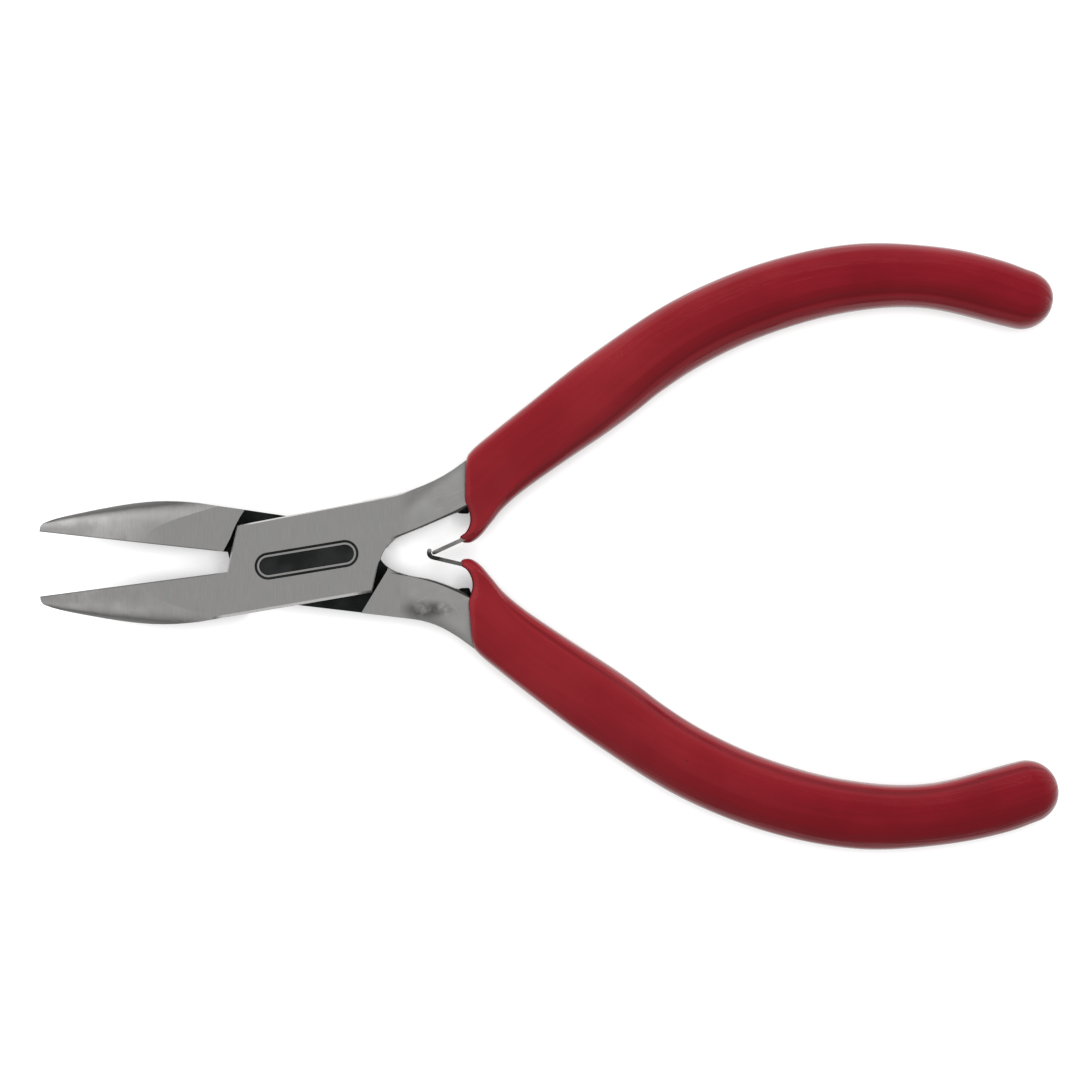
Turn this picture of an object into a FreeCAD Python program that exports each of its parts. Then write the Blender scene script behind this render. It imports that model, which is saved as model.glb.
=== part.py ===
import FreeCAD, Part
import math
import os

# Small spring-loaded needle nose pliers, in millimetres.
# Origin: on the pivot axis, at the joint's underside. +X towards the handles, +Z up, jaws towards -X.
# Rest pose: open against the stop. Half A carries the lower jaw (-Y) and the upper handle (+Y).

V = FreeCAD.Vector
Z_AXIS = V(0, 0, 1)
X_AXIS = V(1, 0, 0)

# Joint
JOINT_HEIGHT = 6.6          # thickness of the joint, the jaw roots and the dipped handles
LAP_GAP = 0.10              # between the two laps
LAP_TOP = (JOINT_HEIGHT - LAP_GAP) / 2
OPEN_HALF_ANGLE = 6.8       # each half, from closed to the rest pose, in degrees
PLATE_END_RADIUS = 8.10     # of the corners of the plate's free end round the pivot

# Pivot rivet
RIVET_RADIUS = 2.30
RIVET_CLEARANCE = 0.04
RIVET_HEAD_RADIUS = 3.40
RIVET_HEAD_HEIGHT = 1.20
RIVET_SEAT_GAP = 0.05
RIVET_TOP = 5.60            # blind in the top plate

# Jaws, closed: the lower one, with its face just below y = 0
JAW_FACE_GAP = 0.05         # each face from the closing plane
JAW_TIP_X = -30.45
JAW_TIP_FLAT_Y = -0.42      # the tip's blunt end reaches down to here
JAW_TIP_ROUND = (-30.36, -0.78)
JAW_TIP_CORNER = (-30.05, -1.10)
JAW_OUTER = [(-17.5, -4.90), (-21.85, -3.95), (-26.2, -2.62), (-29.0, -1.62)]
JAW_ROOT = (-13.0, -5.20)   # where the straight root ends and the nose begins
JAW_SHOULDER = (-7.6, JAW_ROOT[1] + 0.23)
JAW_THROAT_X = -9.5         # the face ends here, and the throat falls away to the shoulder
JAW_THROAT = (-8.85, -1.65)
JAW_THROAT_BEND = (-8.35, -3.35)
NOSE_SECTIONS = [           # x, half the width and half the height of the nose's elliptic section
    (JAW_TIP_X - 0.2, 1.10, 0.80),
    (-26.2, 2.66, 1.72),
    (-21.85, 3.99, 2.62),
    (-17.5, 5.15, 3.50),
    (-12.6, 6.40, 4.40),
    (-9.0, 7.60, 5.20),
]

# Plate, the upper lap
PLATE_CHAMFER = 0.15
PLATE_LOW_CHAMFER = 0.30
PLATE_FREE_CORNER = (-7.3, 5.0)
PLATE_FREE_EDGE_END = (1.0, 5.0)
PLATE_FACE_CORNER = (-9.12, -JAW_FACE_GAP)
PLATE_END_ANGLES = (-33.0, -5.0)
PLATE_JOINS_JAW_X = -10.0

# Handles: both are mirror images about a line a little above the pivot
HANDLE_MIRROR_Y = 0.97
BAR_THICKNESS = 4.4
NECK_BREAK_AT = (10.9, 6.45)
NECK_BREAK_TURN = 59.8      # degrees, the way the break runs across the neck
NECK_BREAK_SLOPE = 10.0     # degrees, fall of the neck's faces past the break
WEDGE_LOW = 1.6             # height of the wedge's underside
VINYL = 1.0                 # thickness of the dipped coat
GRIP_ROUNDING = 2.2

# Leaf springs
LEAF_THICKNESS = 0.45
LEAF_WIDTH = 4.0
LEAF_CLEARANCE = 0.12
LEAF_BEND_RADIUS = 1.3
HOOK_CENTRE = (14.25, 0.82)
HOOK_INNER_RADIUS = 0.36
HOOK_WRAP = 100             # degrees that the hook goes round the other leaf's tip
LEAF_KNEE = (18.75, 1.85)   # measured from the handles' mirror line, as are the next two
LEAF_RISE = (20.9, 4.9)
LEAF_ANCHOR = (36.6, 16.55)
ANCHOR_RIVET_RADIUS = 0.75
ANCHOR_SHANK_LENGTH = 2.6
ANCHOR_HEAD_RADIUS = 1.30
ANCHOR_HEAD_HEIGHT = 0.45

# Label recess on the plate: a stadium with an upstanding ring, no lettering
LABEL_CENTRE = (-0.03, 0.16)
LABEL_TILT = 1.9
LABEL_HALF_LENGTH = 4.37    # pivot to the centre of each round end
LABEL_OUTER = 1.53
LABEL_RING = (1.02, 1.24)
LABEL_DEPTH = 0.12

# The joint's shoulder: what the other half's lap sweeps, cut from this half below the plate, closed
SHOULDER = [(9.09, 0.0), (6.60, 5.30), (6.60, 9.0), (-9.0, 9.0), (-9.0, -9.0), (9.09, -9.0)]

MID_HEIGHT = JOINT_HEIGHT / 2


def point(xy, z=0.0):
    return V(xy[0], xy[1], z)


def line(a, b):
    return Part.makeLine(point(a), point(b))


def arc(a, middle, b):
    return Part.Arc(point(a), point(middle), point(b)).toShape()


def curve(points, tangents=None):
    spline = Part.BSplineCurve()
    if tangents:
        first, last = (point(t) for t in tangents)
        spline.interpolate(Points=[point(p) for p in points], InitialTangent=first, FinalTangent=last)
    else:
        spline.interpolate([point(p) for p in points])
    return spline.toShape()


def prism(edges, low, high):
    """A solid between two heights, from the edges of a closed outline in order."""
    face = Part.Face(Part.Wire(Part.__sortEdges__(edges)))
    solid = face.extrude(V(0, 0, high - low))
    solid.translate(V(0, 0, low))
    return solid


def polygon(points, low, high):
    closed = list(points) + [points[0]]
    return prism([line(a, b) for a, b in zip(closed, closed[1:])], low, high)


def on_circle(radius, degrees):
    a = math.radians(degrees)
    return radius * math.cos(a), radius * math.sin(a)


def turned(xy):
    """A point of the closed half, turned to the rest pose."""
    radius = math.hypot(xy[0], xy[1])
    return on_circle(radius, math.degrees(math.atan2(xy[1], xy[0])) + OPEN_HALF_ANGLE)


def stadium(radius, low, high):
    """A flat-sided, round-ended column along the label's own axis."""
    left, right = -LABEL_HALF_LENGTH, LABEL_HALF_LENGTH
    solid = prism([
        line((left, -radius), (right, -radius)),
        arc((right, -radius), (right + radius, 0), (right, radius)),
        line((right, radius), (left, radius)),
        arc((left, radius), (left - radius, 0), (left, -radius)),
    ], low, high)
    solid.rotate(V(0, 0, 0), Z_AXIS, LABEL_TILT)
    solid.translate(point(LABEL_CENTRE))
    return solid


def rounded_path(points, radius):
    """An open wire of straight runs with a tangent arc at each inner point."""
    edges = []
    start = point(points[0])
    for before, corner, after in zip(points, points[1:], points[2:]):
        here = point(corner)
        back = (point(before) - here).normalize()
        on = (point(after) - here).normalize()
        half = back.getAngle(on) / 2
        reach = radius / math.tan(half)
        bisector = (back + on).normalize()
        centre = here + bisector * (radius / math.sin(half))
        first, last = here + back * reach, here + on * reach
        edges.append(Part.makeLine(start, first))
        edges.append(Part.Arc(first, centre - bisector * radius, last).toShape())
        start = last
    edges.append(Part.makeLine(start, point(points[-1])))
    return edges


# The leaf's long straight run inside the grip: its direction, and its normal towards the handle bar
RUN_LENGTH = math.dist(LEAF_RISE, LEAF_ANCHOR)
RUN = ((LEAF_ANCHOR[0] - LEAF_RISE[0]) / RUN_LENGTH, (LEAF_ANCHOR[1] - LEAF_RISE[1]) / RUN_LENGTH)
RUN_NORMAL = (-RUN[1], RUN[0])


def by_anchor(along, out):
    """A point given along the leaf's run from its anchor, and out from the leaf towards the bar."""
    return (LEAF_ANCHOR[0] + along * RUN[0] + out * RUN_NORMAL[0],
            LEAF_ANCHOR[1] + along * RUN[1] + out * RUN_NORMAL[1])


def shift_at(x):
    """How far the handles' mirror line lies from the pivot's, fading out over the joint."""
    t = min(1.0, max(0.0, (x - 5.0) / 11.0))
    return HANDLE_MIRROR_Y * (0.3 + 0.7 * t * t * (3 - 2 * t))


def shifted(points, side, share=1.0):
    return [(x, y + side * share * shift_at(x)) for x, y in points]


# Outlines of the handle, measured from the handles' mirror line
NECK_OUTER = [(9.3, 6.75), (12.7, 7.50), (15.0, 8.42), (17.3, 9.85), (19.5, 11.50), (22.5, 13.4)]
NECK_INNER = [(10.4, 2.06), (13.8, 3.13), (16.0, 3.98), (18.0, 5.02), (19.6, 7.30), (23.0, 9.8)]
WEDGE = [(16.9, 4.62), (17.90, 4.55), (17.90, 6.0), (17.4, 6.0)]
GRIP_OUTER = [(18.5, 10.90), (24.6, 16.35), (32.0, 21.90), (42.0, 28.26), (52.2, 32.33),
              (62.3, 34.17), (72.5, 33.78)]
GRIP_INNER = [(20.2, 3.0), (25.1, 6.95), (31.9, 11.68), (38.6, 16.60), (48.8, 22.63),
              (58.9, 25.95), (69.1, 26.70)]
GRIP_LIP_INNER = (18.0, 4.30)
GRIP_END_CENTRE = (80.8, 27.92)
GRIP_END_RADIUS = 3.60
GRIP_END_ANGLES = (72.0, -102.6)
GRIP_END_MIDDLE = -15.0
BAR_HOLLOW = 2.65           # depth of the bar's hollow over the leaf's front
BAR_INNER_START = by_anchor(-RUN_LENGTH, BAR_HOLLOW)
LEAF_PAST_ANCHOR = 0.90
SLOT_PAST_ANCHOR = LEAF_PAST_ANCHOR + LEAF_CLEARANCE
SLOT_OUT = LEAF_THICKNESS / 2 + LEAF_CLEARANCE
BAR_OUT = SLOT_OUT + 0.08
CLEAR_INSIDE = -4.0         # past the grip's inner face, for the cuts that open through it
BOOT_BELOW = [(17.35, 1.05), (18.4, 1.23), (19.4, 1.80), (20.6, 3.15), (22.4, 5.00), (24.8, 6.70),
              (28.7, 9.20)]
BOOT_ABOVE = [by_anchor(-10.6, 0.55), by_anchor(-RUN_LENGTH - 0.3, 0.5), (18.35, 2.35), (17.55, 2.0)]
BOOT_LOW = 0.6              # height of the boot's underside
GRIP_FRONT = [(16.0, 4.2), (18.15, 4.85), BAR_INNER_START, by_anchor(-10.5, 1.72),
              by_anchor(-10.5, CLEAR_INSIDE), (22.0, CLEAR_INSIDE), (14.0, CLEAR_INSIDE)]


def jaw():
    """The closed jaw below its face: straight root, then a nose ground half round and tapering to the tip."""
    face = -JAW_FACE_GAP
    face_end, tip_flat = (JAW_THROAT_X, face), (JAW_TIP_X, JAW_TIP_FLAT_Y)
    outer = [JAW_ROOT] + JAW_OUTER + [JAW_TIP_CORNER]
    profile = prism([
        line((JAW_TIP_X, face), face_end),
        line(face_end, JAW_THROAT),
        arc(JAW_THROAT, JAW_THROAT_BEND, JAW_SHOULDER),
        line(JAW_SHOULDER, JAW_ROOT),
        curve(outer, ((-1, 0.01), (-0.86, 0.5))),
        arc(JAW_TIP_CORNER, JAW_TIP_ROUND, tip_flat),
        line(tip_flat, (JAW_TIP_X, face)),
    ], 0, JOINT_HEIGHT)
    rings = []
    for x, half_width, half_height in NOSE_SECTIONS:
        ellipse = Part.Ellipse(V(x, half_width, MID_HEIGHT), V(x, 0, MID_HEIGHT + half_height),
                               V(x, 0, MID_HEIGHT))
        rings.append(Part.Wire(ellipse.toShape()))
    nose = Part.makeLoft(rings, True, False)
    root_x = NOSE_SECTIONS[-1][0]
    root_block = Part.makeBox(12, 24, 12, V(root_x, -12, MID_HEIGHT - 6))
    return profile.common(nose.fuse(root_block))


def plate():
    """The upper lap that lies over the other half, with its free end round the pivot."""
    end_low, end_high = (on_circle(PLATE_END_RADIUS, angle) for angle in PLATE_END_ANGLES)
    rise = (end_low[1] - JAW_ROOT[1]) / (end_low[0] - JAW_ROOT[0])
    joined = (PLATE_JOINS_JAW_X, JAW_ROOT[1] + rise * (PLATE_JOINS_JAW_X - JAW_ROOT[0]))
    outline = [PLATE_FREE_CORNER, PLATE_FREE_EDGE_END, end_high, end_low, joined,
               (PLATE_JOINS_JAW_X, -JAW_FACE_GAP), PLATE_FACE_CORNER]
    return polygon(outline, JOINT_HEIGHT - LAP_TOP, JOINT_HEIGHT)


def neck(side):
    """The full-height handle root behind the shoulder, its faces falling away towards the grip."""
    outer = shifted(NECK_OUTER, side, 0.85)
    inner = shifted(NECK_INNER, side)
    crotch_end = on_circle(PLATE_END_RADIUS, -1.0)
    plate_corner = turned(PLATE_FREE_CORNER)
    solid = prism([
        line(plate_corner, outer[0]),
        curve(outer, ((1, 0.18), (0.85, 0.53))),
        line(outer[-1], inner[-1]),
        curve(inner[::-1], ((-0.8, -0.6), (-0.93, -0.36))),
        arc(inner[0], (8.80, 1.02 + 0.35 * side), crotch_end),
        line(crotch_end, (0, 0)),
        line((0, 0), plate_corner),
    ], 0, JOINT_HEIGHT)
    shoulder = [turned(p) for p in SHOULDER]
    solid = solid.cut(polygon(shoulder, 0, JOINT_HEIGHT - LAP_TOP))
    for top in (True, False):
        fall = Part.makeBox(40, 40, 8, V(0, -20, 0))
        fall.rotate(V(0, 0, 0), V(0, 1, 0), NECK_BREAK_SLOPE)
        if top:
            fall.translate(V(0, 0, JOINT_HEIGHT))
        else:
            fall = fall.mirror(V(0, 0, 0), Z_AXIS)
        fall.rotate(V(0, 0, 0), Z_AXIS, NECK_BREAK_TURN)
        fall.translate(point(moved_up([NECK_BREAK_AT], side)[0]))
        solid = solid.cut(fall)
    foot = polygon(shifted(WEDGE, side), WEDGE_LOW, JOINT_HEIGHT - WEDGE_LOW)
    return solid.fuse(foot)


def moved_up(points, side):
    return [(x, y + side * HANDLE_MIRROR_Y) for x, y in points]


def beside(points, distance):
    """The points moved square to the row they make, to its left."""
    moved = []
    for n, (x, y) in enumerate(points):
        before, after = points[max(n - 1, 0)], points[min(n + 1, len(points) - 1)]
        share = distance / math.dist(before, after)
        moved.append((x - share * (after[1] - before[1]), y + share * (after[0] - before[0])))
    return moved


def grip_prism(side, inset, low, high):
    """The dipped handle's outline seen from above, drawn in by the inset, between two heights."""
    shift = side * HANDLE_MIRROR_Y
    centre = (GRIP_END_CENTRE[0], GRIP_END_CENTRE[1] + shift)

    def at_end(radius, degrees):
        x, y = on_circle(radius, degrees)
        return centre[0] + x, centre[1] + y

    start, stop = GRIP_END_ANGLES
    outer = beside(moved_up(GRIP_OUTER, side) + [at_end(GRIP_END_RADIUS, start)], -inset)[:-1]
    inner = beside(moved_up(GRIP_INNER, side) + [at_end(GRIP_END_RADIUS, stop)], inset)[:-1]
    radius = GRIP_END_RADIUS - inset
    outer.append(at_end(radius, start))
    inner.append(at_end(radius, stop))
    lip = (GRIP_LIP_INNER[0] + inset, GRIP_LIP_INNER[1] + shift)
    return prism([
        curve(outer, ((0.75, 0.66), on_circle(1, start - 90))),
        arc(outer[-1], at_end(radius, GRIP_END_MIDDLE), inner[-1]),
        curve(inner, ((0.72, 0.69), on_circle(1, stop + 90))),
        line(inner[0], lip),
        line(lip, outer[0]),
    ], low, high)


def bar(side):
    """The steel bar inside the grip, hollowed on its inner side where the leaf flexes."""
    low = (JOINT_HEIGHT - BAR_THICKNESS) / 2
    solid = grip_prism(side, VINYL, low, JOINT_HEIGHT - low)
    front = -RUN_LENGTH - 4
    room = [BAR_INNER_START, by_anchor(-1.0, BAR_OUT), by_anchor(SLOT_PAST_ANCHOR, BAR_OUT),
            by_anchor(SLOT_PAST_ANCHOR, CLEAR_INSIDE), by_anchor(front, CLEAR_INSIDE),
            by_anchor(front, BAR_HOLLOW)]
    return solid.cut(polygon(moved_up(room, side), 0, JOINT_HEIGHT))


def anchor_rivet(side):
    """Its head lies on the leaf's inner face, its shank goes through the leaf into the bar."""
    x, y = moved_up([by_anchor(0, 0)], side)[0]
    out = V(RUN_NORMAL[0], RUN_NORMAL[1], 0)
    centre = V(x, y, MID_HEIGHT)
    seat = centre - out * SLOT_OUT
    head = Part.makeCylinder(ANCHOR_HEAD_RADIUS, ANCHOR_HEAD_HEIGHT, seat - out * ANCHOR_HEAD_HEIGHT, out)
    shank = Part.makeCylinder(ANCHOR_RIVET_RADIUS, ANCHOR_SHANK_LENGTH, seat, out)
    return head.fuse(shank).removeSplitter()


def steel_half(side):
    closed = jaw().fuse(plate())
    closed.rotate(V(0, 0, 0), Z_AXIS, OPEN_HALF_ANGLE)
    solid = closed.fuse([neck(side), bar(side)]).removeSplitter()
    for size, low_edge in ((PLATE_LOW_CHAMFER, True), (PLATE_CHAMFER, False)):
        solid = solid.makeChamfer(size, plate_edges(solid, low_edge))
    return solid


def plate_edges(solid, low_edge):
    """The plate's top edges: the long one on the jaw's side, or its ends and its other long one."""
    found = []
    for edge in solid.Edges:
        box = edge.BoundBox
        middle = edge.CenterOfMass
        on_top = box.ZMin > JOINT_HEIGHT - 1e-6
        in_plate = -9.3 < middle.x < 8.4 and box.XMax < 11 and abs(middle.y) < 6.6
        if on_top and in_plate and edge.Length > 2.0:
            at_low = middle.y < -4.0
            if at_low == low_edge:
                found.append(edge)
    return found


def leaf(side, hooked):
    """A flat spring strip from the hook at the apex to the anchor under the grip."""
    knee, rise = moved_up([LEAF_KNEE, LEAF_RISE], side)
    end = moved_up([by_anchor(LEAF_PAST_ANCHOR - LEAF_THICKNESS / 2, 0)], side)[0]
    tip = (HOOK_CENTRE[0], side * HOOK_CENTRE[1])
    edges = []
    if hooked:
        turn = HOOK_INNER_RADIUS + LEAF_THICKNESS / 2
        reach = math.dist(tip, knee)
        towards = math.degrees(math.atan2(knee[1] - tip[1], knee[0] - tip[0]))
        touch = towards + math.degrees(math.acos(turn / reach))
        angles = (touch, touch + HOOK_WRAP / 2, touch + HOOK_WRAP)
        bottom, far, top = ((tip[0] + on_circle(turn, a)[0], tip[1] + on_circle(turn, a)[1]) for a in angles)
        edges.append(arc(top, far, bottom))
        tip = bottom
    edges += rounded_path([tip, knee, rise, end], LEAF_BEND_RADIUS)
    strip = Part.Wire(edges).makeOffset2D(LEAF_THICKNESS / 2)
    face = Part.Face(strip)
    solid = face.extrude(V(0, 0, LEAF_WIDTH))
    solid.translate(V(0, 0, (JOINT_HEIGHT - LEAF_WIDTH) / 2))
    x, y = moved_up([by_anchor(0, 0)], side)[0]
    out = V(RUN_NORMAL[0], RUN_NORMAL[1], 0)
    hole = Part.makeCylinder(ANCHOR_RIVET_RADIUS + LEAF_CLEARANCE, 2, V(x, y, MID_HEIGHT) - out, out)
    return solid.cut(hole)


def boot(side, strip):
    """The vinyl round the leaf's front, up to where the leaf goes into the grip."""
    below = moved_up(BOOT_BELOW, side)
    above = moved_up(BOOT_ABOVE, side)
    outline = [curve(below), line(below[-1], above[0])]
    outline += [line(a, b) for a, b in zip(above, above[1:] + [below[0]])]
    return prism(outline, BOOT_LOW, JOINT_HEIGHT - BOOT_LOW).cut(strip)


def grip(side, steel, strip, rivet):
    """The dipped vinyl coat: open at the front for the leaf's boot, slotted inside where the leaf moves."""
    solid = grip_prism(side, 0, 0, JOINT_HEIGHT)
    rims = [e for e in solid.Edges if e.BoundBox.ZLength < 1e-6 and e.BoundBox.XMax > GRIP_INNER[1][0]]
    solid = solid.makeFillet(GRIP_ROUNDING, rims)
    slot = [by_anchor(-11, 1.8), by_anchor(-1.0, BAR_OUT), by_anchor(SLOT_PAST_ANCHOR, BAR_OUT),
            by_anchor(SLOT_PAST_ANCHOR, -SLOT_OUT), by_anchor(-11, -SLOT_OUT)]
    low = (JOINT_HEIGHT - LEAF_WIDTH) / 2 - LEAF_CLEARANCE
    solid = solid.cut(polygon(moved_up(GRIP_FRONT, side), -1, JOINT_HEIGHT + 1))
    solid = solid.cut(polygon(moved_up(slot, side), low, JOINT_HEIGHT - low))
    return solid.cut(steel).cut(rivet)


def flipped(shape):
    """The same piece turned over about the long axis, for half B."""
    piece = shape.copy()
    piece.rotate(V(0, 0, MID_HEIGHT), X_AXIS, 180)
    return piece


def pivot_rivet():
    head = Part.makeCylinder(RIVET_HEAD_RADIUS, RIVET_HEAD_HEIGHT)
    shank = Part.makeCylinder(RIVET_RADIUS, RIVET_TOP)
    return head.fuse(shank).removeSplitter()


def label_recess():
    """A groove round an upstanding ring, and a sunk field inside it."""
    low, high = JOINT_HEIGHT - LABEL_DEPTH, JOINT_HEIGHT + 1
    groove = stadium(LABEL_OUTER, low, high).cut(stadium(LABEL_RING[1], low, high))
    recess = groove.fuse(stadium(LABEL_RING[0], low, high))
    recess.rotate(V(0, 0, 0), Z_AXIS, OPEN_HALF_ANGLE)
    return recess


def largest_solid(shape):
    return max(shape.Solids, key=lambda s: s.Volume)


def save(name, shape):
    solid = largest_solid(shape)
    solid.exportStep(os.path.join("parts", name + ".step"))
    print(f"{name}: {len(shape.Solids)} solids, volume {solid.Volume:.1f}, valid {solid.isValid()}")


def build():
    os.makedirs("parts", exist_ok=True)
    rivet = pivot_rivet()
    save("pivot_rivet", rivet)

    for name, side in (("a", 1), ("b", -1)):
        steel = steel_half(side)
        anchor = anchor_rivet(side)
        steel = steel.cut(anchor)
        strip = leaf(side, hooked=side < 0)
        pieces = {
            "half": steel,
            "leaf_spring": strip,
            "spring_rivet": anchor,
            "boot": boot(side, strip),
            "grip": grip(side, steel, strip, anchor),
        }
        if side < 0:
            pieces = {key: flipped(shape) for key, shape in pieces.items()}
            bore = Part.makeCylinder(RIVET_RADIUS + RIVET_CLEARANCE, JOINT_HEIGHT)
            seat = Part.makeCylinder(RIVET_HEAD_RADIUS + RIVET_SEAT_GAP, RIVET_HEAD_HEIGHT + RIVET_SEAT_GAP)
            pieces["half"] = pieces["half"].cut(bore.fuse(seat))
        else:
            pieces["half"] = pieces["half"].cut(rivet).cut(label_recess())
        for key, shape in pieces.items():
            save(f"{key}_{name}", shape)


build()
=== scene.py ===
import math

import bmesh
import bpy
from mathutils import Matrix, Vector


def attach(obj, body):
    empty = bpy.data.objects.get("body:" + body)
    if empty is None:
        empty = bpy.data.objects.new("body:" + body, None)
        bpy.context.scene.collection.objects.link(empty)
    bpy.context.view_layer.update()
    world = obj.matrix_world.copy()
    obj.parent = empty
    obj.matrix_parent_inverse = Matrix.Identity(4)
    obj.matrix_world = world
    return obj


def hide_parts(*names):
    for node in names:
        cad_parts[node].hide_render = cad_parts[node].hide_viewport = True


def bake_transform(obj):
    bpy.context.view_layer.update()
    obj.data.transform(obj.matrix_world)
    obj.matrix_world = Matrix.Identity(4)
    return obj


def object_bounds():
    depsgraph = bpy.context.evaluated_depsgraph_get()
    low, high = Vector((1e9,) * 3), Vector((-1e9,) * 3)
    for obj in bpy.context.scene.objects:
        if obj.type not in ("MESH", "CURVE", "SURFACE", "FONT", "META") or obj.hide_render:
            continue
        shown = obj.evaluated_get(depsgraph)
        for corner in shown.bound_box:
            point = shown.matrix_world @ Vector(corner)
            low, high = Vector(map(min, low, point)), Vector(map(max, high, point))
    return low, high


# Small spring-loaded needle nose pliers, in the CAD's frame: the pivot axis is Z through the origin, the
# handles run towards +X, and the tool lies on the floor at z = 0. Sizes and places are in mm and angles in
# degrees unless a comment says otherwise, and they become Blender's metres where they are used.

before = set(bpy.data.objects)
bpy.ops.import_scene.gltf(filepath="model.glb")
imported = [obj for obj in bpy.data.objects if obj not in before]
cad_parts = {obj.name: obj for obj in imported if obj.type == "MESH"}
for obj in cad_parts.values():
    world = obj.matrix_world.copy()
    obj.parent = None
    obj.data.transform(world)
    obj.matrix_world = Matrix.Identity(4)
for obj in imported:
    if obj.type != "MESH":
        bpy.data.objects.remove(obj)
cad_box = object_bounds()

MM = 0.001
MIRROR_Y = 0.97             # the handles mirror each other about this line
HEIGHT = (cad_box[1].z - cad_box[0].z) / MM
MID = HEIGHT / 2
LAP = (3.15, 3.45)          # the dark lap faces lie between these heights
JOINT_RADIUS = 10.0         # about the pivot: the lap and its walls end here
JAW_OPENING = 6.8           # each jaw's face from the closing line, at rest
NECK_START = (10.4, 2.06)   # the neck's inner edge starts here and curves outwards
NECK_SLOPE = 0.254
NECK_CURVE = 0.0178         # per mm


# ---------------------------------------------------------------- materials

# Colours are in linear light, and a pair is the two ends that a noise mixes

def new_material(name):
    material = bpy.data.materials.new(name)
    material.use_nodes = True
    nodes = material.node_tree.nodes
    nodes.clear()
    output = nodes.new("ShaderNodeOutputMaterial")
    shader = nodes.new("ShaderNodeBsdfPrincipled")
    material.node_tree.links.new(shader.outputs["BSDF"], output.inputs["Surface"])
    return material, shader


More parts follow.
